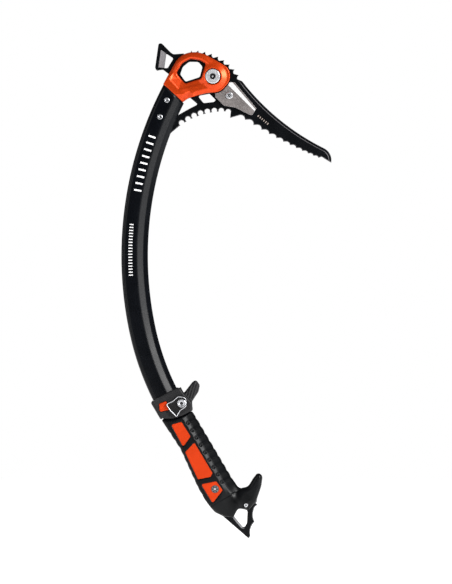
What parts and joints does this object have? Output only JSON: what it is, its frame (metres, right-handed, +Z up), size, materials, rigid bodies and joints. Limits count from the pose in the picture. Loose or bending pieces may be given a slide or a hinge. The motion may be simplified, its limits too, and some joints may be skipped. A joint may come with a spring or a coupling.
{
  "type": "ice axe",
  "caption": "Technical ice axe with a bent shaft, toothed replaceable pick, hammer face, sliding trigger collar, moulded grip and spiked pommel.",
  "frame": {"origin": "centre of the karabiner eye in the head, mid-thickness", "axes": "+Z up along the axe towards the head, +X towards the pick, the axe lies in the XZ plane, thickness along Y, front is -Y"},
  "size_m": [0.2141, 0.0346, 0.5046],
  "materials": {
    "orange_anodised": "satin orange anodised forging",
    "shaft_black": "satin black coated aluminium",
    "black_steel": "black coated steel plate",
    "grey_weight": "tumbled grey steel",
    "bright_steel": "polished stainless steel",
    "collar_plastic": "moulded dark grey plastic",
    "lever_black": "black coated lever with a bright rim",
    "orange_plastic": "moulded orange plastic",
    "grip_black": "textured black rubber",
    "pommel_black": "smooth black rubber"
  },
  "bodies": {
    "axe": {"shaft_tube": "shaft_black", "head_body": "orange_anodised", "pick_blade": "black_steel", "hammer": "black_steel", "pick_bolt": "bright_steel", "pick_nut": "bright_steel", "pick_washers": "bright_steel", "pick_weight_front": "grey_weight", "pick_weight_back": "grey_weight", "weight_screw": "bright_steel", "weight_nut": "bright_steel", "head_rivets": "bright_steel", "handle_core": "orange_plastic", "core_pin": "bright_steel", "grip_rubber": "grip_black", "spike_plate": "black_steel", "pommel_rest": "pommel_black", "spike_rivet": "bright_steel", "grip_screw": "bright_steel", "grip_nut": "bright_steel"},
    "trigger": {"trigger_collar": "collar_plastic", "cam_shoe": "collar_plastic", "lever_pin": "bright_steel", "lever_washer": "bright_steel", "button_spring": "bright_steel"},
    "lever": {"lock_lever": "lever_black"},
    "button": {"lock_button": "orange_plastic"}
  },
  "joints": [
    {"name": "trigger_slide", "type": "hinge", "parent": "axe", "child": "trigger", "pos_m": [0.21422, 0, -0.20758], "axis": [0, 1, 0], "range_deg": [0, 8]},
    {"name": "lever_flip", "type": "hinge", "parent": "trigger", "child": "lever", "pos_m": [-0.01, -0.0163, -0.3375], "axis": [0, 1, 0], "range_deg": [0, 75]},
    {"name": "button_press", "type": "slide", "parent": "trigger", "child": "button", "axis": [0, 1, 0], "range_m": [0, 0.0014], "stiffness_N_per_m": 800, "springref_m": -0.001}
  ]
}
